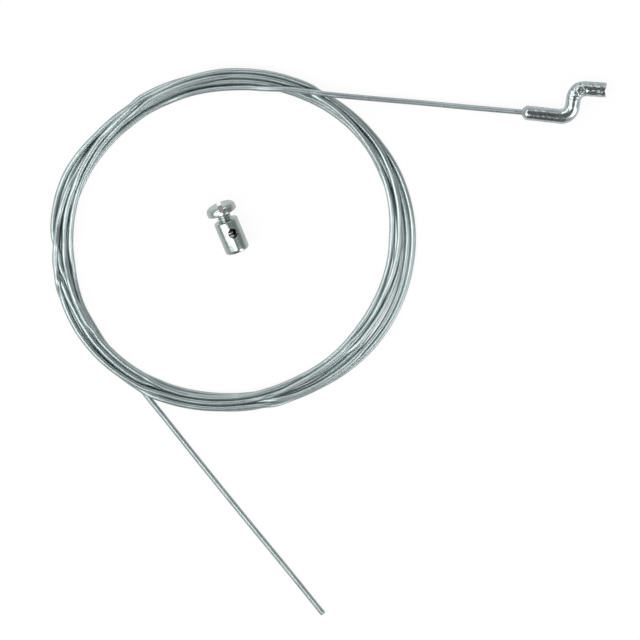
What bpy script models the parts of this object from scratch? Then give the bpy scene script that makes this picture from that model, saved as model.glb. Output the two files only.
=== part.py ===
# Throttle inner cable with a crimped Z end, wound in a coil, and its loose screw clamp.
# Metres, +Z up. Everything lies on the plane z = 0.

import math

import bmesh
import bpy
from mathutils import Vector

# Wire rope
cable_diameter = 0.0016

# Coil of the wire rope: middle of the bundle, and the bundle's section
coil_radius_x = 0.0487
coil_radius_y = 0.0466
coil_width = 0.0068
coil_height = 0.0038
coil_corner = 0.0012
coil_corner_steps = 4

# Z end: steel tube crimped on the rope and bent twice
fitting_diameter = 0.0042
fitting_mouth = 0.0021
fitting_shoulder = 0.0014
fitting_lower_arm = 0.0138
fitting_rise = 0.0086
fitting_upper_arm = 0.0088
fitting_bend = 0.0032
fitting_lower_heading = -6.6
fitting_rise_heading = 80.5
fitting_upper_heading = -4.1
notch_width = 0.0021
notch_depth = 0.0006
fitting_round_steps = 8
fitting_bend_steps = 10

# Clamp barrel
barrel_diameter = 0.0070
barrel_length = 0.0095
barrel_chamfer = 0.0004
cross_hole_diameter = 0.0027
cross_hole_from_top = 0.0036
cross_hole_roll = 8.0
tapped_depth = 0.0050
tapped_cone_depth = 0.0006

# Clamp screw
screw_diameter = 0.0040
screw_length = 0.0060
screw_exposed = 0.0024
screw_tip_chamfer = 0.0004
head_diameter = 0.0086
head_height = 0.0025
head_rim_height = 0.0005
head_corner = 0.0014
head_corner_steps = 6
head_crown = 0.0001
slot_width = 0.0012
slot_depth = 0.0013
screw_clearance = 0.0001

# Where the barrel's foot lies, from the middle of the coil, and the way its screw points
clamp_foot_x = 0.0015
clamp_foot_y = -0.0018
clamp_heading = 22.5

seat_gap = 0.0003
route_step = 2.5 * cable_diameter
curve_samples = 40
cable_round_steps = 2
round_steps = 48
sharp_angle = 35

# Hand-chosen routes of the rope's free stretches, from the middle of the coil.
# The lead runs from the Z end to the coil, and the free end runs from the coil to its cut.
lead_route = [
    (0.0825, 0.0373, fitting_diameter / 2),
    (0.0760, 0.0379, 0.0019),
    (0.0650, 0.0389, 0.0015),
    (0.0530, 0.0401, 0.0014),
    (0.0400, 0.0414, 0.0021),
    (0.0310, 0.0424, 0.0027),
    (0.0200, 0.0433, 0.0030),
    (0.0116, 0.0436, 0.0030),
]
free_route = [
    (-0.0330, -0.0326, cable_diameter / 2),
    (-0.0261, -0.0416, cable_diameter / 2),
    (-0.0202, -0.0490, cable_diameter / 2),
    (-0.0079, -0.0646, cable_diameter / 2),
    (0.0046, -0.0802, cable_diameter / 2),
    (0.0171, -0.0956, cable_diameter / 2),
    (0.0265, -0.1074, cable_diameter / 2),
]


def clear_scene():
    for thing in list(bpy.data.objects):
        bpy.data.objects.remove(thing)


def steel(name, colour, roughness):
    material = bpy.data.materials.new(name)
    material.use_nodes = True
    shader = material.node_tree.nodes["Principled BSDF"]
    shader.inputs["Base Color"].default_value = (*colour, 1.0)
    shader.inputs["Metallic"].default_value = 1.0
    shader.inputs["Roughness"].default_value = roughness
    return material


def empty(name, parent=None, location=(0, 0, 0), rotation=(0, 0, 0)):
    made = bpy.data.objects.new(name, None)
    bpy.context.scene.collection.objects.link(made)
    made.parent = parent
    made.location = location
    made.rotation_euler = rotation
    return made


def place(name, data, parent, material=None):
    made = bpy.data.objects.new(name, data)
    bpy.context.scene.collection.objects.link(made)
    made.parent = parent
    if material:
        data.materials.append(material)
    return made


def shaded(mesh):
    mesh.shade_smooth()
    mesh.set_sharp_from_angle(angle=math.radians(sharp_angle))
    return mesh


def arc(middle, radius, start, end, steps):
    """Points of an arc in a turned profile, with angles in degrees."""
    points = []
    for i in range(steps + 1):
        angle = math.radians(start + (end - start) * i / steps)
        points.append((middle[0] + radius * math.cos(angle), middle[1] + radius * math.sin(angle)))
    return points


def turned(name, profile, steps, closed=False):
    """A mesh spun round Z from (radius, height) points. An open profile starts and ends on the axis."""
    shape = bmesh.new()
    points = [shape.verts.new((radius, 0, height)) for radius, height in profile]
    edges = [shape.edges.new(pair) for pair in zip(points, points[1:])]
    if closed:
        edges.append(shape.edges.new((points[-1], points[0])))
    bmesh.ops.spin(
        shape, geom=points + edges, axis=(0, 0, 1), cent=(0, 0, 0),
        angle=math.tau, steps=steps, use_merge=True,
    )
    bmesh.ops.remove_doubles(shape, verts=shape.verts, dist=1e-6)
    bmesh.ops.recalc_face_normals(shape, faces=shape.faces)
    mesh = bpy.data.meshes.new(name)
    shape.to_mesh(mesh)
    shape.free()
    return mesh


def smooth_route(route):
    """Fine points of a smooth curve through the route's own points."""
    knots = [Vector(point) for point in route]
    knots = [2 * knots[0] - knots[1], *knots, 2 * knots[-1] - knots[-2]]
    fine = []
    for before, start, end, after in zip(knots, knots[1:], knots[2:], knots[3:]):
        for i in range(curve_samples):
            t = i / curve_samples
            fine.append(0.5 * (
                2 * start
                + t * (end - before)
                + t**2 * (2 * before - 5 * start + 4 * end - after)
                + t**3 * (3 * start - before - 3 * end + after)
            ))
    fine.append(knots[-2])
    return fine


def spaced(points):
    """The same line with its points evenly spaced, about a route_step apart."""
    lengths = [0.0]
    for here, there in zip(points, points[1:]):
        lengths.append(lengths[-1] + (there - here).length)
    count = max(2, round(lengths[-1] / route_step))
    even = []
    span = 0
    for i in range(count + 1):
        wanted = lengths[-1] * i / count
        while span < len(points) - 2 and lengths[span + 1] < wanted:
            span += 1
        share = (wanted - lengths[span]) / (lengths[span + 1] - lengths[span])
        even.append(points[span].lerp(points[span + 1], min(1, share)))
    return even


def from_coil_wall(point):
    """How far a point lies outside the coil's outer wall, in plan."""
    reach_x = coil_radius_x + coil_width / 2
    reach_y = coil_radius_y * reach_x / coil_radius_x
    excess = (point.x / reach_x) ** 2 + (point.y / reach_y) ** 2 - 1
    slope = 2 * math.hypot(point.x / reach_x**2, point.y / reach_y**2)
    return excess / slope


def outside_coil(points):
    """The stretch of a route that is clear of the coil's wall."""
    clear = cable_diameter / 2 + seat_gap
    return [point for point in points if from_coil_wall(point) > clear]


def tube(name, points, diameter, round_steps, parent, material=None, radii=None):
    curve = bpy.data.curves.new(name, "CURVE")
    curve.dimensions = "3D"
    curve.bevel_depth = diameter / 2
    curve.bevel_resolution = round_steps
    curve.use_fill_caps = True
    spline = curve.splines.new("POLY")
    spline.points.add(len(points) - 1)
    for i, point in enumerate(points):
        spline.points[i].co = (*point, 1.0)
        spline.points[i].radius = radii[i] if radii else 1.0
    return place(name, curve, parent, material)


def build_coil(parent, material):
    inner = coil_radius_x - coil_width / 2
    outer = coil_radius_x + coil_width / 2
    section = [(inner, 0), (outer, 0)]
    section += arc((outer - coil_corner, coil_height - coil_corner), coil_corner, 0, 90, coil_corner_steps)
    section += arc((inner + coil_corner, coil_height - coil_corner), coil_corner, 90, 180, coil_corner_steps)
    mesh = turned("cable_coil", section, 2 * round_steps, closed=True)
    shape = bmesh.new()
    shape.from_mesh(mesh)
    bmesh.ops.scale(shape, vec=(1, coil_radius_y / coil_radius_x, 1), verts=shape.verts)
    shape.to_mesh(mesh)
    shape.free()
    return place("cable_coil", shaded(mesh), parent, material)


def build_lead(parent, material):
    mouth = Vector(lead_route[0])
    route = [point for point in smooth_route(lead_route) if (point - mouth).length >= seat_gap]
    return tube("cable_z_lead", spaced(outside_coil(route)), cable_diameter, cable_round_steps, parent, material)


def build_free_end(parent, material):
    route = outside_coil(smooth_route(free_route))
    return tube("cable_free_end", spaced(route), cable_diameter, cable_round_steps, parent, material)


def heading(degrees):
    return Vector((math.cos(math.radians(degrees)), math.sin(math.radians(degrees)), 0))


def bend(corner, before, after):
    """Points of the round bend at a corner between two headings in degrees."""
    turn = math.radians(after - before)
    side = math.copysign(1, turn)
    reach = fitting_bend * math.tan(abs(turn) / 2)
    start = corner - reach * heading(before)
    middle = start + side * fitting_bend * heading(before + 90)
    points = []
    for i in range(fitting_bend_steps + 1):
        angle = before + (after - before) * i / fitting_bend_steps
        points.append(middle - side * fitting_bend * heading(angle + 90))
    return points


def fitting_path():
    """Middle line of the Z end, from the rope's mouth to the cut end, and each point's share of the radius."""
    foot = Vector(lead_route[0])
    shoulder = foot + fitting_shoulder * heading(fitting_lower_heading)
    first = foot + fitting_lower_arm * heading(fitting_lower_heading)
    second = first + fitting_rise * heading(fitting_rise_heading)
    tip = second + fitting_upper_arm * heading(fitting_upper_heading)
    points = [foot, shoulder]
    points += bend(first, fitting_lower_heading, fitting_rise_heading)
    points += bend(second, fitting_rise_heading, fitting_upper_heading)
    points.append(tip)
    radii = [fitting_mouth / fitting_diameter] + [1.0] * (len(points) - 1)
    return points, radii


def build_fitting(parent, material):
    points, radii = fitting_path()
    guide = tube("z_fitting_guide", points, fitting_diameter, fitting_round_steps, parent, radii=radii)
    mesh = bpy.data.meshes.new_from_object(guide.evaluated_get(bpy.context.evaluated_depsgraph_get()))
    bpy.data.objects.remove(guide)
    shape = bmesh.new()
    shape.from_mesh(mesh)
    bmesh.ops.remove_doubles(shape, verts=shape.verts, dist=1e-7)
    bmesh.ops.recalc_face_normals(shape, faces=shape.faces)
    shape.to_mesh(mesh)
    shape.free()
    fitting = place("z_fitting", shaded(mesh), parent, material)
    cut(fitting, notch_cutter(parent, points[-1]))
    return fitting


def notch_cutter(parent, tip):
    """A wedge that leaves the sheared end with a shallow V, its groove upright."""
    along = heading(fitting_upper_heading)
    across = heading(fitting_upper_heading + 90)
    clear = tip + notch_depth * along
    outline = [tip - notch_depth * along, clear - notch_width * across, clear + notch_width * across]
    shape = bmesh.new()
    drop = Vector((0, 0, fitting_diameter))
    face = shape.faces.new([shape.verts.new(point - drop) for point in outline])
    risen = bmesh.ops.extrude_face_region(shape, geom=[face])["geom"]
    bmesh.ops.translate(shape, vec=2 * drop, verts=[v for v in risen if isinstance(v, bmesh.types.BMVert)])
    bmesh.ops.recalc_face_normals(shape, faces=shape.faces)
    mesh = bpy.data.meshes.new("notch_cutter")
    shape.to_mesh(mesh)
    shape.free()
    return place("notch_cutter", mesh, parent)


def cut(piece, cutter):
    cutter.hide_render = True
    cutter.display_type = "WIRE"
    hole = piece.modifiers.new(cutter.name, "BOOLEAN")
    hole.operation = "DIFFERENCE"
    hole.object = cutter


def clamp_tilt():
    """The clamp lies on the barrel's foot edge and the head's rim, so its axis rises a little."""
    rim = barrel_length + screw_exposed + head_rim_height
    return math.atan((head_diameter - barrel_diameter) / 2 / (rim - barrel_chamfer))


def clamp_axis(parent):
    """An empty on the clamp's axis at the barrel's foot, with Z towards the screw's head."""
    tilt = clamp_tilt()
    height = barrel_diameter / 2 * math.cos(tilt) - barrel_chamfer * math.sin(tilt)
    rotation = (tilt - math.pi / 2, 0, math.radians(clamp_heading))
    return empty("clamp_axis", parent, (clamp_foot_x, clamp_foot_y, height), rotation)


def build_barrel(parent, material):
    outer = barrel_diameter / 2
    bore = screw_diameter / 2 + screw_clearance
    floor = barrel_length - tapped_depth
    profile = [
        (0, 0),
        (outer - barrel_chamfer, 0),
        (outer, barrel_chamfer),
        (outer, barrel_length - barrel_chamfer),
        (outer - barrel_chamfer, barrel_length),
        (bore, barrel_length),
        (bore, floor),
        (0, floor - tapped_cone_depth),
    ]
    barrel = place("clamp_barrel", shaded(turned("clamp_barrel", profile, round_steps)), parent, material)
    shape = bmesh.new()
    bmesh.ops.create_cone(
        shape, cap_ends=True, segments=round_steps // 2,
        radius1=cross_hole_diameter / 2, radius2=cross_hole_diameter / 2, depth=2 * barrel_diameter,
    )
    mesh = bpy.data.meshes.new("cross_hole_cutter")
    shape.to_mesh(mesh)
    shape.free()
    cutter = place("cross_hole_cutter", mesh, parent)
    cutter.location = (0, 0, barrel_length - cross_hole_from_top)
    cutter.rotation_euler = (math.pi / 2, 0, math.radians(cross_hole_roll))
    cut(barrel, cutter)
    return barrel


def build_screw(parent, material):
    shank = screw_diameter / 2
    seat = barrel_length + screw_exposed
    tip = seat - screw_length
    rim = head_diameter / 2
    top = seat + head_height
    profile = [
        (0, tip),
        (shank - screw_tip_chamfer, tip),
        (shank, tip + screw_tip_chamfer),
        (shank, seat),
        (rim - head_rim_height / 2, seat),
        (rim, seat + head_rim_height),
    ]
    profile += arc((rim - head_corner, top - head_corner), head_corner, 0, 90, head_corner_steps)
    profile.append((0, top + head_crown))
    screw = place("clamp_screw", shaded(turned("clamp_screw", profile, round_steps)), parent, material)
    shape = bmesh.new()
    bmesh.ops.create_cube(shape, size=1)
    bmesh.ops.scale(shape, vec=(slot_width, 2 * head_diameter, 2 * slot_depth), verts=shape.verts)
    bmesh.ops.translate(shape, vec=(0, 0, top), verts=shape.verts)
    mesh = bpy.data.meshes.new("slot_cutter")
    shape.to_mesh(mesh)
    shape.free()
    cut(screw, place("slot_cutter", mesh, parent))
    return screw


def centre_on_box(root, pieces):
    """Moves the whole part so that its origin is the middle of its box's underside."""
    bpy.context.view_layer.update()
    graph = bpy.context.evaluated_depsgraph_get()
    points = []
    for piece in pieces:
        made = piece.evaluated_get(graph)
        points += [made.matrix_world @ vertex.co for vertex in made.to_mesh().vertices]
        made.to_mesh_clear()
    for axis in range(2):
        values = [point[axis] for point in points]
        root.location[axis] = -(min(values) + max(values)) / 2


def main():
    clear_scene()
    rope = steel("galvanised_rope", (0.42, 0.45, 0.44), 0.38)
    tube_steel = steel("zinc_plated_tube", (0.55, 0.58, 0.57), 0.25)
    barrel_steel = steel("zinc_plated_barrel", (0.62, 0.65, 0.64), 0.25)
    screw_steel = steel("zinc_plated_screw", (0.65, 0.67, 0.66), 0.22)
    root = empty("cable_frame")
    pieces = [
        build_coil(root, rope),
        build_lead(root, rope),
        build_free_end(root, rope),
        build_fitting(root, tube_steel),
    ]
    axis = clamp_axis(root)
    pieces.append(build_barrel(axis, barrel_steel))
    pieces.append(build_screw(axis, screw_steel))
    centre_on_box(root, pieces)


main()
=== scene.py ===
import math
import bmesh
import bpy
import numpy as np
from mathutils import Euler, Matrix, Vector, noise


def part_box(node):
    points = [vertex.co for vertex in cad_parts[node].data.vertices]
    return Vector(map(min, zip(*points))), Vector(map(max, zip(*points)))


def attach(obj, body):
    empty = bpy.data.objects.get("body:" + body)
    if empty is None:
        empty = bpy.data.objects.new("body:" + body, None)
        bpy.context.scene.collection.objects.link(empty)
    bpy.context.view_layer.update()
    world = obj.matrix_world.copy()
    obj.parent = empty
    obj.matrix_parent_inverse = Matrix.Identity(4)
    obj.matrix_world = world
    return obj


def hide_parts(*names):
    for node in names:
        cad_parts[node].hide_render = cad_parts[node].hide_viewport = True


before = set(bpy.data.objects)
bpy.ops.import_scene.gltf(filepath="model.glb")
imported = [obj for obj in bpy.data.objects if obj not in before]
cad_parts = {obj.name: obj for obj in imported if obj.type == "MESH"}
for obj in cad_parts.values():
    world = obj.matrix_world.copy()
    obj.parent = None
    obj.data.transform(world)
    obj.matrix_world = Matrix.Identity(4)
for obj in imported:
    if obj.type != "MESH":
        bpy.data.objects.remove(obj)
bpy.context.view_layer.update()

coilLow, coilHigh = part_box("cable_coil")
coilMiddle = Vector(((coilLow.x + coilHigh.x) / 2, (coilLow.y + coilHigh.y) / 2, 0))
print("frame loaded, coil middle", tuple(round(v, 5) for v in coilMiddle))


# Camera

cameraSetup = {
    "looksAt": (-0.00196, 0.00642, 0.0),
    "leansTo": (-0.4, 0.9165),    # the way over the floor that the camera leans
    "lean": 10.0,                 # degrees off straight down
    "lens": 1000.0,               # the photo is flat, as from far off
    "sensor": 36.0,
    "frameWidth": 0.1824,
}


def placeCamera(setup):
    lens = bpy.data.cameras.new("studioCamera")
    lens.lens, lens.sensor_width = setup["lens"], setup["sensor"]
    lens.clip_start, lens.clip_end = 0.05, 60
    camera = bpy.data.objects.new("studioCamera", lens)
    bpy.context.scene.collection.objects.link(camera)
    x, y = setup["leansTo"]
    lean = math.radians(setup["lean"])
    back = Vector((x * math.sin(lean), y * math.sin(lean), math.cos(lean))).normalized()
    along = Vector((x * math.cos(lean), y * math.cos(lean), -math.sin(lean)))
    across = Vector((y, -x, 0))
    right = (x * along + y * across).normalized()
    up = back.cross(right)
    away = setup["frameWidth"] * setup["lens"] / setup["sensor"]
    place = Matrix((right, up, back)).transposed().to_4x4()
    place.translation = Vector(setup["looksAt"]) + back * away
    camera.matrix_world = place
    bpy.context.scene.camera = camera


placeCamera(cameraSetup)
bpy.context.scene.view_settings.view_transform = "Standard"
print("camera placed")


# Shared mesh and path helpers

def softened(values, rounds):
    values = np.array(values, float)
    for _ in range(rounds):
        values[1:-1] = (values[:-2] + 2 * values[1:-1] + values[2:]) / 4
    return values


def lengthsAlong(points):
    return np.concatenate([[0], np.cumsum(np.linalg.norm(np.diff(points, axis=0), axis=1))])


def throughPoints(points, spacing):
    # a smooth curve through the points, each stretch a cubic with the neighbours' slope at its ends
    points = np.array(points, float)
    at = lengthsAlong(points)
    slopes = np.gradient(points, at, axis=0)
    wanted = np.linspace(0, at[-1], int(at[-1] / spacing) + 2)
    i = np.clip(np.searchsorted(at, wanted, side="right") - 1, 0, len(at) - 2)
    gap = (at[i + 1] - at[i])[:, None]
    t = (wanted - at[i])[:, None] / gap
    return ((2 * t**3 - 3 * t**2 + 1) * points[i] + (t**3 - 2 * t**2 + t) * gap * slopes[i]
            + (3 * t**2 - 2 * t**3) * points[i + 1] + (t**3 - t**2) * gap * slopes[i + 1])


def evenlySpaced(points, count):
    at = lengthsAlong(points)
    wanted = np.linspace(0, at[-1], count)
    return np.stack([np.interp(wanted, at, points[:, k]) for k in range(3)], axis=1)


def framesAlong(line, firstSide):
    # directions along, beside and across the line, carried on without twisting
    ahead = np.gradient(line, axis=0)
    ahead /= np.linalg.norm(ahead, axis=1)[:, None]
    beside = np.empty_like(line)
    side = np.array(firstSide, float)
    for i, forward in enumerate(ahead):
        side = side - forward * side.dot(forward)
        side /= np.linalg.norm(side)
        beside[i] = side
    return ahead, beside, np.cross(ahead, beside)


def wrappedGrid(shape, rings, sharpColumns=None):
    # a grid bent round so that its rows are the rings, welded where its sides meet
    along, around = rings.shape[:2]
    made = bmesh.ops.create_grid(shape, x_segments=around, y_segments=along - 1, size=1, calc_uvs=True)
    columns = {}
    for vert in made["verts"]:
        column = round((vert.co.x + 1) / 2 * around)
        row = round((vert.co.y + 1) / 2 * (along - 1))
        columns[vert] = column
        vert.co = rings[row, column % around]
    if sharpColumns is not None:
        for vert, column in columns.items():
            if column % 2 == sharpColumns:
                for edge in vert.link_edges:
                    if columns.get(edge.other_vert(vert)) == column:
                        edge.smooth = False
    bmesh.ops.remove_doubles(shape, verts=made["verts"], dist=1e-7)


def fillEnds(shape):
    openEdges = [edge for edge in shape.edges if edge.is_boundary]
    if openEdges:
        bmesh.ops.holes_fill(shape, edges=openEdges, sides=0)


def turnedProfile(shape, profile, steps):
    verts = [shape.verts.new((x, 0, z)) for x, z in profile]
    edges = [shape.edges.new(pair) for pair in zip(verts, verts[1:])]
    bmesh.ops.spin(shape, geom=verts + edges, cent=(0, 0, 0), axis=(0, 0, 1),
                   angle=2 * math.pi, steps=steps, use_merge=True)
    bmesh.ops.remove_doubles(shape, verts=shape.verts, dist=1e-7)
    bmesh.ops.recalc_face_normals(shape, faces=shape.faces)


def meshPiece(name, shape, material, sharpAngle=None):
    mesh = bpy.data.meshes.new(name)
    for face in shape.faces:
        face.smooth = True
    if sharpAngle is not None:
        for edge in shape.edges:
            if len(edge.link_faces) == 2 and edge.calc_face_angle(0) > math.radians(sharpAngle):
                edge.smooth = False
    shape.to_mesh(mesh)
    shape.free()
    if material:
        mesh.materials.append(material)
    piece = bpy.data.objects.new(name, mesh)
    bpy.context.scene.collection.objects.link(piece)
    return piece


def applyModifiers(piece):
    # works a piece's modifiers into its mesh
    seen = piece.evaluated_get(bpy.context.evaluated_depsgraph_get())
    mesh = bpy.data.meshes.new_from_object(seen)
    piece.modifiers.clear()
    old = piece.data
    piece.data = mesh
    bpy.data.meshes.remove(old)


def cutWith(piece, cutters):
    for cutter in cutters:
        hole = piece.modifiers.new("hole", "BOOLEAN")
        hole.operation, hole.solver, hole.object = "DIFFERENCE", "EXACT", cutter
    bpy.context.view_layer.update()
    applyModifiers(piece)
    for cutter in cutters:
        bpy.data.objects.remove(cutter)


# Materials

def nodesOf(material):
    material.use_nodes = True
    tree = material.node_tree
    return tree.nodes, tree.links, tree.nodes["Principled BSDF"]


def noiseNode(nodes, links, coordinates, scale, detail=3.0, roughness=0.5):
    made = nodes.new("ShaderNodeTexNoise")
    made.inputs["Scale"].default_value = scale
    made.inputs["Detail"].default_value = detail
    made.inputs["Roughness"].default_value = roughness
    links.new(coordinates, made.inputs["Vector"])
    return made.outputs["Fac"]


def spread(nodes, links, value, low, high, fromLow=0.3, fromHigh=0.7):
    made = nodes.new("ShaderNodeMapRange")
    for name, number in (("From Min", fromLow), ("From Max", fromHigh), ("To Min", low), ("To Max", high)):
        made.inputs[name].default_value = number
    links.new(value, made.inputs["Value"])
    return made.outputs["Result"]


def mixColours(nodes, links, share, first, second):
    made = nodes.new("ShaderNodeMix")
    made.data_type = "RGBA"
    links.new(share, made.inputs["Factor"])
    for socket, colour in ((made.inputs["A"], first), (made.inputs["B"], second)):
        if isinstance(colour, tuple):
            socket.default_value = (*colour, 1)
        else:
            links.new(colour, socket)
    return made.outputs["Result"]


def patchyMetal(nodes, links, place, settings):
    # two shades of the same metal in soft patches
    patches = spread(nodes, links, noiseNode(nodes, links, place, settings["patchScale"]), 0, 1)
    return mixColours(nodes, links, patches, settings["dull"], settings["bright"])


def sums(nodes, links, what, first, second=None):
    made = nodes.new("ShaderNodeMath")
    made.operation = what
    for socket, value in zip(made.inputs, (first, second)):
        if value is None:
            continue
        if isinstance(value, (int, float)):
            socket.default_value = value
        else:
            links.new(value, socket)
    return made.outputs["Value"]


def bumpNode(nodes, links, height, size, under=None):
    made = nodes.new("ShaderNodeBump")
    made.inputs["Distance"].default_value, made.inputs["Strength"].default_value = size
    links.new(height, made.inputs["Height"])
    if under:
        links.new(under, made.inputs["Normal"])
    return made.outputs["Normal"]


# Wire rope: one length from the Z end, round the coil and out to its cut end

rope = {
    "diameter": 0.0016,
    "wires": 12,                  # in the outer layer
    "grooveDepth": 0.000052,
    "lay": 0.0075,                # length of one turn of a wire round the rope
    "rings": 3980, "pathStep": 0.00025, "pathSmoothing": 24,
    "insideFitting": 0.0012,
    "endWire": 0.00031,           # thickness of a wire at the cut end
    "endProud": 0.00015,          # how far the cut wires stand out
    "bright": (0.64, 0.73, 0.725),
    "dull": (0.49, 0.57, 0.57),
    # painted shade: the grooves between the wires get a darker colour than the wires
    "groove": (0.24, 0.285, 0.285),
    "grooveShare": (0.03, 0.24),  # where the painted shade of the groove ends, as a share of a wire's width
    "patchScale": 160, "grainScale": 2600,
    "grainBump": (0.00003, 0.5), "roughness": (0.26, 0.38),
}

# the lead from the Z end to the coil and the tail to the cut, in metres from the coil's middle
leadRoute = [
    (0.0825, 0.0373, 0.0021), (0.0760, 0.0379, 0.0019), (0.0650, 0.0389, 0.0015),
    (0.0530, 0.0401, 0.0014), (0.0400, 0.0414, 0.0021), (0.0310, 0.0424, 0.0029),
]
tailRoute = [
    (-0.03585, -0.02944, 0.0008), (-0.0330, -0.0326, 0.0008), (-0.0261, -0.0416, 0.0008),
    (-0.0202, -0.0490, 0.0008), (-0.0079, -0.0646, 0.0008), (0.0046, -0.0802, 0.0008),
    (0.0171, -0.0956, 0.0008), (0.0265, -0.1074, 0.0008),
]
# the coil: every turn is a slightly oval ring that is shifted a little, in millimetres
coil = {
    "firstAngle": 60, "lastAngle": 2370,     # degrees round, from the lead to the tail
    # one row for each turn: radius, shift right, shift back, oval along x, oval along the diagonal
    "turns": [
        (46, -1, -1.5, 0, 0.5),
        (49, 1, -1, 1.5, 0.5),
        (49.5, 0.5, 1.5, 1, -0.5),
        (46.5, 0, 1, 1.5, -0.5),
        (48.5, -0.5, 0.5, 2, 1.5),
        (47, -1, 3, -0.5, 1),
        (46.5, 0, 0, -0.5, 0),
    ],
    # slight bends out or in: degrees round, how far, and over how many degrees
    "kinks": [(120, 0.5, 30), (325, 0.3, 40), (420, 0.5, 20), (640, -1, 30), (705, 0.3, 30),
              (845, -0.5, 25), (1040, -0.1, 40), (1245, 3, 25), (1317, 1, 25), (1390, -0.4, 40),
              (1780, -1.2, 40)],
    "entry": 32, "entryOut": 5.2, "entryUp": 2.3,     # the lead comes in from outside and on top
    "leave": 40,                  # the degrees over which the last turn comes down to the floor
    "turnRise": 0.15,             # how much higher each turn starts than the one before
    "fineStep": 3, "smoothing": 6,
    "rounds": 1500, "lastRounds": 100,                # the last rounds only push, without smoothing
    "push": 0.25, "holdOut": 0.04, "holdUp": 0.001, "sink": 0.006,    # springs and weight
}


def wantedCoil(settings, angles, thick):
    # each turn's sizes run over into the next turn's
    turn = (angles - settings["firstAngle"]) / 360
    rows = range(len(settings["turns"]))
    sizes = [np.interp(turn - 0.5, rows, column) for column in zip(*settings["turns"])]
    radius, right, back, ovalAlong, ovalAslant = sizes
    a = np.radians(angles)
    out = (radius + right * np.cos(a) + back * np.sin(a)
           + ovalAlong * np.cos(2 * a) + ovalAslant * np.sin(2 * a))
    for where, far, wide in settings["kinks"]:
        out += far * np.exp(-((angles - where) / wide) ** 2)
    entry = np.clip(1 - (angles - settings["firstAngle"]) / settings["entry"], 0, 1)
    leave = np.clip((settings["lastAngle"] - angles) / settings["leave"], 0, 1)
    out += settings["entryOut"] * entry**2
    up = thick / 2 + settings["entryUp"] * entry + settings["turnRise"] * turn * leave
    return softened(out, settings["smoothing"]), softened(up, settings["smoothing"])


def settledCoil(settings, thick):
    # lets the turns push each other apart and sink until they lie on each other; millimetres
    step = settings["fineStep"]
    angles = np.arange(settings["firstAngle"], settings["lastAngle"] + 0.1, step)
    wantedOut, wantedUp = wantedCoil(settings, angles, thick)
    out, up = wantedOut.copy(), wantedUp.copy()
    for n in range(settings["rounds"]):
        moveOut, moveUp = np.zeros_like(out), np.zeros_like(up)
        for apart in range(360 // step, len(angles), 360 // step):
            outward, upward = out[apart:] - out[:-apart], up[apart:] - up[:-apart]
            gap = np.hypot(outward, upward) + 1e-6
            push = np.clip(thick - gap, 0, None) / gap * settings["push"]
            moveOut[apart:] += outward * push
            moveOut[:-apart] -= outward * push
            moveUp[apart:] += upward * push
            moveUp[:-apart] -= upward * push
        out += moveOut + (wantedOut - out) * settings["holdOut"]
        up += moveUp + (wantedUp - up) * settings["holdUp"] - settings["sink"]
        up = np.maximum(up, thick / 2)
        if n % 3 == 0 and n < settings["rounds"] - settings["lastRounds"]:
            out, up = softened(out, 1), softened(up, 1)
    a = np.radians(angles)
    return np.stack([out * np.cos(a), out * np.sin(a), up], axis=1)


def ropeLine(settings):
    turns = settledCoil(coil, settings["diameter"] * 1000) / 1000
    lead, tail = np.array(leadRoute), np.array(tailRoute)
    slant = math.radians(fitting["lowerHeading"])
    inside = lead[0] + settings["insideFitting"] * np.array([math.cos(slant), math.sin(slant), 0])
    line = throughPoints(np.concatenate([[inside], lead, turns, tail]), settings["pathStep"])
    line = softened(line, settings["pathSmoothing"])
    return evenlySpaced(line, settings["rings"]) + np.array(coilMiddle)


def ropeMaterial(settings):
    material = bpy.data.materials.new("galvanisedWireRope")
    nodes, links, surface = nodesOf(material)
    uv = nodes.new("ShaderNodeUVMap")
    uv.uv_map = "UVMap"
    split = nodes.new("ShaderNodeSeparateXYZ")
    links.new(uv.outputs["UV"], split.inputs["Vector"])
    place = nodes.new("ShaderNodeTexCoord").outputs["Object"]
    wiresRound = sums(nodes, links, "MULTIPLY", split.outputs["X"], settings["wires"])
    inWire = sums(nodes, links, "FRACT", wiresRound)
    fromGroove = sums(nodes, links, "ABSOLUTE", sums(nodes, links, "SUBTRACT", inWire, 0.5))
    grain = noiseNode(nodes, links, place, settings["grainScale"], 2)
    metal = patchyMetal(nodes, links, place, settings)
    # painted shade: the colour darkens towards each groove between the wires
    shade = spread(nodes, links, fromGroove, 0, 1, *settings["grooveShare"])
    links.new(mixColours(nodes, links, shade, settings["groove"], metal), surface.inputs["Base Color"])
    links.new(spread(nodes, links, grain, *settings["roughness"]), surface.inputs["Roughness"])
    links.new(bumpNode(nodes, links, grain, settings["grainBump"]), surface.inputs["Normal"])
    surface.inputs["Metallic"].default_value = 1
    return material


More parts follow.
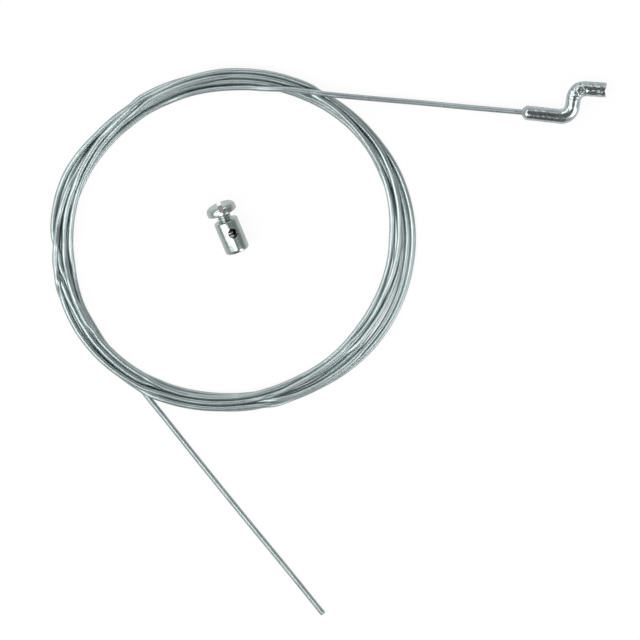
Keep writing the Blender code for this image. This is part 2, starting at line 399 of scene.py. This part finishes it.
def makeRope(settings):
    line = ropeLine(settings)
    ahead, beside, across = framesAlong(line, (0, 0, 1))
    at = lengthsAlong(line)
    around = 2 * settings["wires"]
    radius = np.where(np.arange(around) % 2, -settings["grooveDepth"], 0) + settings["diameter"] / 2
    twist = 2 * math.pi * at / settings["lay"]
    angle = (2 * math.pi * np.arange(around) / around)[None, :] + twist[:, None]
    rings = (line[:, None, :] + (radius * np.cos(angle))[..., None] * beside[:, None, :]
             + (radius * np.sin(angle))[..., None] * across[:, None, :])
    shape = bmesh.new()
    shape.loops.layers.uv.new("UVMap")
    wrappedGrid(shape, rings, sharpColumns=1)
    fillEnds(shape)
    # the cut end shows every wire: one in the middle, six round it and twelve outside
    end = Matrix((beside[-1], across[-1], ahead[-1])).transposed().to_4x4()
    end.translation = Vector(line[-1])
    for count, ring in ((1, 0), (6, 1), (12, 2)):
        for k in range(count):
            turn = 2 * math.pi * k / count + ring
            reach = ring * settings["endWire"]
            proud = settings["endProud"] * (0.5 * math.sin(5 * k + 2 * ring) - 0.4)
            wirePlace = Matrix.Translation((reach * math.cos(turn), reach * math.sin(turn), proud))
            bmesh.ops.create_cone(shape, cap_ends=True, segments=8, depth=2 * settings["endProud"],
                                  radius1=settings["endWire"] / 2, radius2=settings["endWire"] / 2.2,
                                  matrix=end @ wirePlace)
    piece = meshPiece("wire_rope", shape, ropeMaterial(settings))
    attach(piece, "cable")
    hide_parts("cable_coil", "cable_z_lead", "cable_free_end")
    print(f"rope: {at[-1]:.4f} m, {len(line)} rings, {len(piece.data.polygons)} faces,"
          f" highest {line[:, 2].max() * 1000:.2f} mm")
    return piece, line, float(at[-1])


# Z end: a steel tube crimped on the rope and bent twice

fitting = {
    "diameter": 0.0042,
    "mouth": 0.0021,
    "shoulder": 0.0014,
    "lowerArm": 0.0138, "rise": 0.0086, "upperArm": 0.0088,
    "bend": 0.0032,
    "lowerHeading": -6.6, "riseHeading": 80.5, "upperHeading": -4.1,
    "notchDepth": 0.0006, "notchLength": 0.0012,
    "endRings": (0.985, 0.95, 0.85, 0.7, 0.5, 0.3, 0.12), "endBulge": 0.00004,
    "boreDepth": 0.0009, "boreShare": 0.97,           # of the rope's radius
    "mouthRings": [(1.06, 0.00006), (1.18, 0.0)],     # share of the rope's radius, how far it stands out
    "columns": 56, "spacing": 0.00011, "sharpAngle": 38,
    "widening": 0.035, "flattening": 0.03,            # of the tube in its bends
    "dents": 0.00009, "dentScale": 900,
    "wrinkles": 0.00012, "wrinkleScale": 2600,
    # share of the length from the mouth, and how pitted it is there: most at the upper bend and arm
    "pitting": [(0.0, 0.15), (0.06, 0.35), (0.38, 0.35), (0.46, 0.05),
                (0.58, 0.05), (0.70, 1.0), (1.0, 0.9)],
    "bright": (0.58, 0.645, 0.645),
    "dull": (0.45, 0.51, 0.515),
    "pit": (0.10, 0.115, 0.115),
    "patchScale": 260, "pitScale": 1500, "grainScale": 5200,
    "pitShare": (0.34, 0.46), "pitBump": (0.00014, 0.8),
    "grainBump": (0.00002, 0.5), "roughness": (0.13, 0.30),
}


def heading(degrees):
    return Vector((math.cos(math.radians(degrees)), math.sin(math.radians(degrees)), 0))


def roundBend(corner, before, after, radius):
    turn = math.radians(after - before)
    side = math.copysign(1, turn)
    start = corner - radius * math.tan(abs(turn) / 2) * heading(before)
    middle = start + side * radius * heading(before + 90)
    return [middle - side * radius * heading(before + (after - before) * i / 24 + 90) for i in range(25)]


def fittingLine(settings):
    foot = coilMiddle + Vector(leadRoute[0])
    low, rise, high = settings["lowerHeading"], settings["riseHeading"], settings["upperHeading"]
    first = foot + settings["lowerArm"] * heading(low)
    second = first + settings["rise"] * heading(rise)
    tip = second + settings["upperArm"] * heading(high)
    lowerBend = roundBend(first, low, rise, settings["bend"])
    upperBend = roundBend(second, rise, high, settings["bend"])
    points = np.array([tuple(p) for p in [foot, *lowerBend, *upperBend, tip]])
    length = lengthsAlong(points)[-1]
    return evenlySpaced(points, int(length / settings["spacing"]))


def makeFitting(settings):
    line = fittingLine(settings)
    ahead, beside, across = framesAlong(line, (0, 0, 1))
    at = lengthsAlong(line)
    full = settings["diameter"] / 2
    curved = np.linalg.norm(np.gradient(ahead, at, axis=0), axis=1) * settings["bend"]   # 1 in the bends
    curved = softened(curved, 12)
    shoulder = np.clip(at / settings["shoulder"], 0, 1)
    rounded = 1 - (1 - shoulder) ** 1.6
    radius = settings["mouth"] / 2 + (full - settings["mouth"] / 2) * rounded
    columns = settings["columns"]
    angle = 2 * math.pi * np.arange(columns) / columns
    pitted = np.interp(at / at[-1], *zip(*settings["pitting"]))
    wrinkleShift = Vector((5, 1, 3))     # so that wrinkles and dents don't fall together
    rows = []

    def row(i, size, forward=0.0, rough=1.0, notch=0.0):
        ring = np.empty((columns, 3))
        for k, a in enumerate(angle):
            up, side = math.cos(a), math.sin(a)
            wide = size * (1 + settings["widening"] * curved[i] * rough)
            tall = size * (1 - settings["flattening"] * curved[i] * rough)
            p = Vector(line[i]) + Vector(beside[i]) * up * tall + Vector(across[i]) * side * wide
            if rough:
                soft = noise.noise(p * settings["dentScale"]) * settings["dents"]
                folds = noise.noise(p * settings["wrinkleScale"] + wrinkleShift)
                folds *= settings["wrinkles"] * curved[i]
                outward = Vector(beside[i]) * up + Vector(across[i]) * side
                p += outward * (soft + folds) * rough * pitted[i]
            off = side * size
            p += Vector(ahead[i]) * (forward - notch * max(0.0, 1 - abs(off) / full))
            ring[k] = p
        rows.append(ring)

    hole = rope["diameter"] / 2
    # up out of the bore, over the mouth's edge, along the tube and over its sheared end
    row(int(settings["boreDepth"] / settings["spacing"]), hole * settings["boreShare"], rough=0)
    for share, bulge in settings["mouthRings"]:
        row(0, hole * share, forward=bulge, rough=0)
    for i in range(len(line)):
        fromTip = (len(line) - 1 - i) * settings["spacing"]
        notch = settings["notchDepth"] * max(0.0, 1 - fromTip / settings["notchLength"])
        row(i, radius[i], rough=min(1.0, i / 12), notch=notch)
    last = len(line) - 1
    for share in settings["endRings"]:
        bulge = settings["endBulge"] * (1 - share) ** 0.3
        row(last, full * share, forward=bulge, rough=0.6, notch=settings["notchDepth"])
    shape = bmesh.new()
    shape.loops.layers.uv.new("UVMap")
    wrappedGrid(shape, np.array(rows))
    fillEnds(shape)
    bmesh.ops.recalc_face_normals(shape, faces=shape.faces)
    piece = meshPiece("z_end_tube", shape, tubeMaterial(settings), settings["sharpAngle"])
    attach(piece, "cable")
    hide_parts("z_fitting")
    print("Z end made,", len(piece.data.polygons), "faces")
    return piece


def tubeMaterial(settings):
    material = bpy.data.materials.new("pittedZincTube")
    nodes, links, surface = nodesOf(material)
    place = nodes.new("ShaderNodeTexCoord").outputs["Object"]
    pits = noiseNode(nodes, links, place, settings["pitScale"], 3, 0.6)
    grain = noiseNode(nodes, links, place, settings["grainScale"], 2)
    metal = patchyMetal(nodes, links, place, settings)
    uv = nodes.new("ShaderNodeUVMap")
    uv.uv_map = "UVMap"
    split = nodes.new("ShaderNodeSeparateXYZ")
    links.new(uv.outputs["UV"], split.inputs["Vector"])
    where = nodes.new("ShaderNodeValToRGB")
    stops = where.color_ramp.elements
    while len(stops) < len(settings["pitting"]):
        stops.new(0.5)
    for stop, (share, amount) in zip(stops, settings["pitting"]):
        stop.position, stop.color = share, (amount, amount, amount, 1)
    links.new(split.outputs["Y"], where.inputs["Fac"])
    amount = where.outputs["Color"]
    inPit = spread(nodes, links, pits, 1, 0, *settings["pitShare"])
    pitted = sums(nodes, links, "MULTIPLY", inPit, amount)
    links.new(mixColours(nodes, links, pitted, metal, settings["pit"]), surface.inputs["Base Color"])
    links.new(spread(nodes, links, grain, *settings["roughness"]), surface.inputs["Roughness"])
    pitHeight = sums(nodes, links, "MULTIPLY", pits, amount)
    deep = bumpNode(nodes, links, pitHeight, settings["pitBump"])
    links.new(bumpNode(nodes, links, grain, settings["grainBump"], deep), surface.inputs["Normal"])
    surface.inputs["Metallic"].default_value = 1
    return material


# Clamp: a turned barrel with a slotted screw in its end, lying on its foot edge and the screw's head

barrel = {
    "diameter": 0.0070, "length": 0.0095,
    "chamfer": 0.0004,                  # of the solid's foot edge, which it lies on
    "footRound": (0.00032, 0.0010),     # how far the worn foot edge is rounded, inward and along
    "crossHole": 0.0027, "crossFromTop": 0.0036, "crossRoll": 8.0,
    "tapped": 0.0050, "tappedCone": 0.0006,
    "foot": (0.0015, -0.0018), "heading": 22.5,
    "topRound": 0.0003, "tapChamfer": 0.00025, "crossChamfer": 0.0008,
    "steps": 96, "crossSteps": 48,
    "markStretch": 14, "pitScale": 1500,
    "bright": (0.51, 0.575, 0.55),
    "dull": (0.42, 0.475, 0.455),
    "deep": (0.06, 0.05, 0.042),        # painted shade inside the cross hole
    "shadeUnderSkin": (0.0004, 0.00015),  # how deep it is all there, and gone
    "shadeBesideHole": (0.0001, 0.0003),
}
screw = {
    "diameter": 0.0040, "length": 0.0060, "exposed": 0.0024, "tipChamfer": 0.0004,
    "pitch": 0.0007, "threadDepth": 0.00034,
    "head": 0.0086, "headHeight": 0.0025, "rim": 0.0005, "corner": 0.0014, "crown": 0.0001,
    "slotWidth": 0.0012, "slotDepth": 0.0013,
    "underRound": 0.0002,         # of the head's edge beneath
    "clearance": 0.0001,
    "steps": 72, "threadRows": 150, "threadColumns": 48,
    "flank": 1.25, "crest": 0.12,       # how steep the thread is, and how flat on top
    "intoHead": 0.0002,                 # how far the thread runs on inside the head
    "markStretch": 3, "pitScale": 1900,
    "bright": (0.54, 0.60, 0.575),
    "dull": (0.44, 0.49, 0.47),
    "deep": (0.11, 0.112, 0.105),       # painted shade in the slot and on the tip inside the cross hole
    "shadePastSides": (0.00001, 0.00003), "shadeUnderFloor": (0.00004, 0.00002), "shadeFade": 0.0003,
}
clampFinish = {
    "sharpAngle": 32,
    "markScale": 260, "patchScale": 330,
    "markBump": (0.000012, 0.5), "pitBump": (0.00003, 0.6), "roughness": (0.12, 0.28),
}


def clampPlace():
    rimAt = barrel["length"] + screw["exposed"] + screw["rim"]
    tilt = math.atan((screw["head"] - barrel["diameter"]) / 2 / (rimAt - barrel["chamfer"]))
    high = barrel["diameter"] / 2 * math.cos(tilt) - barrel["chamfer"] * math.sin(tilt)
    place = Euler((tilt - math.pi / 2, 0, math.radians(barrel["heading"])), "XYZ").to_matrix().to_4x4()
    place.translation = coilMiddle + Vector((*barrel["foot"], high))
    return place


clampFrame = clampPlace()


def clampMaterial(name, settings, paintedShadeOf):
    material = bpy.data.materials.new(name)
    nodes, links, surface = nodesOf(material)
    coordinates = nodes.new("ShaderNodeTexCoord").outputs["Object"]
    lie = nodes.new("ShaderNodeMapping")
    lie.vector_type = "TEXTURE"
    lie.inputs["Location"].default_value = clampFrame.translation
    lie.inputs["Rotation"].default_value = clampFrame.to_euler()
    links.new(coordinates, lie.inputs["Vector"])
    place = lie.outputs["Vector"]
    stretch = nodes.new("ShaderNodeMapping")
    stretch.inputs["Scale"].default_value = (1, 1, settings["markStretch"])     # marks run round the axis
    links.new(place, stretch.inputs["Vector"])
    marks = noiseNode(nodes, links, stretch.outputs["Vector"], clampFinish["markScale"], 2)
    pits = noiseNode(nodes, links, place, settings["pitScale"])
    metal = patchyMetal(nodes, links, place, {**clampFinish, **settings})
    split = nodes.new("ShaderNodeSeparateXYZ")
    links.new(place, split.inputs["Vector"])
    # painted shade: the metal turns dark where the mask marks a recess
    deep = paintedShadeOf(nodes, links, split.outputs)
    links.new(mixColours(nodes, links, deep, metal, settings["deep"]), surface.inputs["Base Color"])
    links.new(spread(nodes, links, marks, *clampFinish["roughness"]), surface.inputs["Roughness"])
    low = bumpNode(nodes, links, pits, clampFinish["pitBump"])
    links.new(bumpNode(nodes, links, marks, clampFinish["markBump"], low), surface.inputs["Normal"])
    surface.inputs["Metallic"].default_value = 1
    return material


# painted shade: dark under the barrel's surface near the cross hole
def inCrossHole(nodes, links, place):
    squares = [sums(nodes, links, "MULTIPLY", place[axis], place[axis]) for axis in ("X", "Y")]
    fromAxis = sums(nodes, links, "SQRT", sums(nodes, links, "ADD", *squares))
    outer, hole = barrel["diameter"] / 2, barrel["crossHole"] / 2
    at = barrel["length"] - barrel["crossFromTop"]
    whole, gone = barrel["shadeUnderSkin"]
    inside = spread(nodes, links, fromAxis, 1, 0, outer - whole, outer - gone)
    away = sums(nodes, links, "ABSOLUTE", sums(nodes, links, "SUBTRACT", place["Z"], at))
    whole, gone = barrel["shadeBesideHole"]
    near = spread(nodes, links, away, 1, 0, hole + whole, hole + gone)
    return sums(nodes, links, "MULTIPLY", inside, near)


# painted shade: dark in the slot and on the part of the screw inside the cross hole
def inSlotOrOnTip(nodes, links, place):
    half = screw["slotWidth"] / 2
    floor = barrel["length"] + screw["exposed"] + screw["headHeight"] - screw["slotDepth"]
    fromMiddle = sums(nodes, links, "ABSOLUTE", place["X"])
    whole, gone = screw["shadePastSides"]
    inside = spread(nodes, links, fromMiddle, 1, 0, half + whole, half + gone)
    low, high = screw["shadeUnderFloor"]
    above = spread(nodes, links, place["Z"], 0, 1, floor - low, floor - high)
    tip = barrel["length"] - barrel["crossFromTop"] + barrel["crossHole"] / 2
    onTip = spread(nodes, links, place["Z"], 1, 0, tip, tip + screw["shadeFade"])
    return sums(nodes, links, "MAXIMUM", sums(nodes, links, "MULTIPLY", inside, above), onTip)


def arcProfile(x, z, radius, start, end, steps):
    turns = [math.radians(start + (end - start) * i / steps) for i in range(steps + 1)]
    return [(x + radius * math.cos(turn), z + radius * math.sin(turn)) for turn in turns]


def makeBarrel(settings):
    outer, length = settings["diameter"] / 2, settings["length"]
    bore = screw["diameter"] / 2 + screw["clearance"]
    floor = length - settings["tapped"]
    inward, along = settings["footRound"]
    profile = [(0, 0)] + [(outer - inward * (1 - math.cos(turn)), along * (1 - math.sin(turn)))
                          for turn in np.radians(np.linspace(90, 0, 15))]
    edge, chamfer = settings["topRound"], settings["tapChamfer"]
    profile += arcProfile(outer - edge, length - edge, edge, 0, 90, 6)
    profile += [(bore + chamfer, length), (bore, length - chamfer), (bore, floor)]
    profile += [(0, floor - settings["tappedCone"])]
    shape = bmesh.new()
    turnedProfile(shape, profile, settings["steps"])
    piece = meshPiece("clamp_body", shape, None)
    # the cross hole is drilled with broken edges
    size, drill = settings["crossHole"] / 2, bmesh.new()
    wide, deep, past = size + settings["crossChamfer"], outer * 0.93, outer * 1.3
    across = [(0, -past), (wide, -past), (size, -deep), (size, deep), (wide, past), (0, past)]
    turnedProfile(drill, across, settings["crossSteps"])
    turn = Matrix.Translation((0, 0, length - settings["crossFromTop"]))
    turn = turn @ Euler((math.pi / 2, 0, math.radians(settings["crossRoll"])), "XYZ").to_matrix().to_4x4()
    bmesh.ops.transform(drill, matrix=turn, verts=drill.verts)
    cutWith(piece, [meshPiece("drill", drill, None)])
    material = clampMaterial("turnedZincBarrel", settings, inCrossHole)
    finishClampPiece(piece, "cable", "clamp_barrel", material)


def finishClampPiece(piece, body, node, material):
    piece.data.transform(clampFrame)
    piece.data.materials.clear()
    piece.data.materials.append(material)
    shape = bmesh.new()
    shape.from_mesh(piece.data)
    for face in shape.faces:
        face.smooth = True
    sharp = math.radians(clampFinish["sharpAngle"])
    for edge in shape.edges:
        edge.smooth = not (len(edge.link_faces) == 2 and edge.calc_face_angle(0) > sharp)
    shape.to_mesh(piece.data)
    shape.free()
    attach(piece, body)
    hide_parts(node)
    print(piece.name, "made,", len(piece.data.polygons), "faces")


def makeScrew(settings):
    shank, seat = settings["diameter"] / 2, barrel["length"] + settings["exposed"]
    tip, rim, top = seat - settings["length"], settings["head"] / 2, seat + settings["headHeight"]
    shape = bmesh.new()
    profile = [(0, seat), (rim - settings["rim"] / 2, seat)]
    under = settings["underRound"]
    profile += arcProfile(rim - under, seat + settings["rim"] / 2, under, -60, 0, 4)
    corner, crown = settings["corner"], settings["crown"]
    profile += arcProfile(rim - corner, top - corner, corner, 0, 82, 12)
    profile += [((rim - corner) * 0.6, top + crown * 0.6), (0, top + crown)]
    turnedProfile(shape, profile, settings["steps"])
    head = meshPiece("clamp_screw_head", shape, None)
    slotShape = bmesh.new()
    bmesh.ops.create_cube(slotShape, size=1)
    slotSize = (settings["slotWidth"], 3 * rim, 2 * settings["slotDepth"])
    bmesh.ops.scale(slotShape, vec=slotSize, verts=slotShape.verts)
    bmesh.ops.translate(slotShape, vec=(0, 0, top), verts=slotShape.verts)
    cutWith(head, [meshPiece("slotCutter", slotShape, None)])
    # the thread is a grid wrapped round the shank, its radius rising and falling with the helix
    rows, columns = settings["threadRows"], settings["threadColumns"]
    heights = np.linspace(tip, seat + settings["intoHead"], rows)
    angle = 2 * math.pi * np.arange(columns) / columns
    phase = (heights[:, None] / settings["pitch"] - angle[None, :] / (2 * math.pi)) % 1
    depth = np.clip(np.abs(phase - 0.5) * 2 * settings["flank"] - settings["crest"], 0, 1)
    depth *= settings["threadDepth"]
    fade = np.clip((heights - tip) / settings["tipChamfer"], 0, 1)[:, None]
    radius = np.minimum(shank - depth, shank - settings["tipChamfer"] * (1 - fade))
    level = np.broadcast_to(heights[:, None], radius.shape)
    rings = np.stack([radius * np.cos(angle), radius * np.sin(angle), level], axis=2)
    thread = bmesh.new()
    wrappedGrid(thread, rings)
    fillEnds(thread)
    bmesh.ops.recalc_face_normals(thread, faces=thread.faces)
    threadMesh = bpy.data.meshes.new("thread")
    thread.to_mesh(threadMesh)
    thread.free()
    whole = bmesh.new()
    whole.from_mesh(head.data)
    whole.from_mesh(threadMesh)
    whole.to_mesh(head.data)
    whole.free()
    bpy.data.meshes.remove(threadMesh)
    head.name = head.data.name = "slotted_screw"
    material = clampMaterial("brightZincScrew", settings, inSlotOrOnTip)
    finishClampPiece(head, "screw", "clamp_screw", material)


ropePiece, ropePath, ropeLength = makeRope(rope)
fittingPiece = makeFitting(fitting)
makeBarrel(barrel)
makeScrew(screw)


# Studio: pale floor, plain world and soft lamps

studio = {
    "floorSize": 40.0,
    "floorColour": (0.97, 0.97, 0.97), "floorRoughness": 0.9, "floorShine": 0.1,
    "glowStrength": 1.015, "glossStrength": 0.8,     # for the camera and for the metal's reflections
    "floorGlow": 0.9,            # how much of the floor's white the camera sees without its shading
    "worldLight": 0.45,
    # dark cards overhead that the metal mirrors: ranges of the direction's x and y, and the light left
    "darkCards": [((-0.28, 0.28), (-1.2, 0.69), 0.09), ((0.22, 1.1), (-0.27, 0.45), 0.28)],
    "cardEdge": 0.05, "cardsEndAt": (0.05, 0.25),     # their soft edge, and where they fade near the floor
    "lamps": {                    # place, size, power
        "leftBox": ((-0.74, -0.25, 0.85), (0.69, 1.15), 6.2),
        "frontBox": ((-0.21, -0.46, 1.03), (0.34, 0.36), 0.95),
        "rightBox": ((0.81, -0.457, 0.65), (0.48, 0.88), 3.4),
        "topBox": ((-0.56, 0.83, 0.65), (1.9, 0.5), 5.2),
        "nearBox": ((-0.018, -0.115, 0.43), (0.09, 0.11), 0.08),
    },
}


def within(nodes, links, value, low, high, soft):
    rise = spread(nodes, links, value, 0, 1, low - soft, low + soft)
    fall = spread(nodes, links, value, 1, 0, high - soft, high + soft)
    return sums(nodes, links, "MULTIPLY", rise, fall)


def makeWorld(settings):
    world = bpy.data.worlds.new("studioWorld")
    bpy.context.scene.world = world
    world.use_nodes = True
    nodes, links = world.node_tree.nodes, world.node_tree.links
    background = nodes["Background"]
    background.inputs["Color"].default_value = (1, 1, 1, 1)
    way = nodes.new("ShaderNodeSeparateXYZ")
    links.new(nodes.new("ShaderNodeTexCoord").outputs["Generated"], way.inputs["Vector"])
    light = settings["worldLight"]
    overhead = spread(nodes, links, way.outputs["Z"], 0, 1, *settings["cardsEndAt"])
    for acrossX, acrossY, left in settings["darkCards"]:
        inX = within(nodes, links, way.outputs["X"], *acrossX, settings["cardEdge"])
        inY = within(nodes, links, way.outputs["Y"], *acrossY, settings["cardEdge"])
        card = sums(nodes, links, "MULTIPLY", sums(nodes, links, "MULTIPLY", inX, inY), overhead)
        shaded = spread(nodes, links, card, settings["worldLight"], left, 0, 1)
        light = sums(nodes, links, "MINIMUM", light, shaded)
    seen = nodes.new("ShaderNodeLightPath").outputs["Is Camera Ray"]     # the camera sees plain white
    links.new(sums(nodes, links, "MAXIMUM", light, seen), background.inputs["Strength"])


def makeFloor(settings):
    shape = bmesh.new()
    bmesh.ops.create_grid(shape, x_segments=1, y_segments=1, size=settings["floorSize"] / 2)
    material = bpy.data.materials.new("paleFloor")
    nodes, links, surface = nodesOf(material)
    surface.inputs["Base Color"].default_value = (*settings["floorColour"], 1)
    surface.inputs["Roughness"].default_value = settings["floorRoughness"]
    surface.inputs["Specular IOR Level"].default_value = settings["floorShine"]
    glow = nodes.new("ShaderNodeEmission")
    mix = nodes.new("ShaderNodeMixShader")
    path = nodes.new("ShaderNodeLightPath")
    strength = spread(nodes, links, path.outputs["Is Camera Ray"],
                      settings["glossStrength"], settings["glowStrength"], 0, 1)
    links.new(strength, glow.inputs["Strength"])
    seen = sums(nodes, links, "MAXIMUM", path.outputs["Is Camera Ray"], path.outputs["Is Glossy Ray"])
    seen = sums(nodes, links, "MAXIMUM", seen, path.outputs["Is Transmission Ray"])
    links.new(sums(nodes, links, "MULTIPLY", seen, settings["floorGlow"]), mix.inputs["Fac"])
    links.new(surface.outputs["BSDF"], mix.inputs[1])
    links.new(glow.outputs["Emission"], mix.inputs[2])
    links.new(mix.outputs["Shader"], nodes["Material Output"].inputs["Surface"])
    meshPiece("studio_floor", shape, material)


def makeLamps(settings):
    for name, (place, size, power) in settings["lamps"].items():
        light = bpy.data.lights.new(name, "AREA")
        light.shape, light.size, light.size_y, light.energy = "RECTANGLE", size[0], size[1], power
        lamp = bpy.data.objects.new(name, light)
        lamp.location = place
        lamp.rotation_euler = (-Vector(place)).to_track_quat("-Z", "Y").to_euler()
        lamp.visible_camera = False
        bpy.context.scene.collection.objects.link(lamp)


makeWorld(studio)
makeFloor(studio)
makeLamps(studio)
print("studio made")
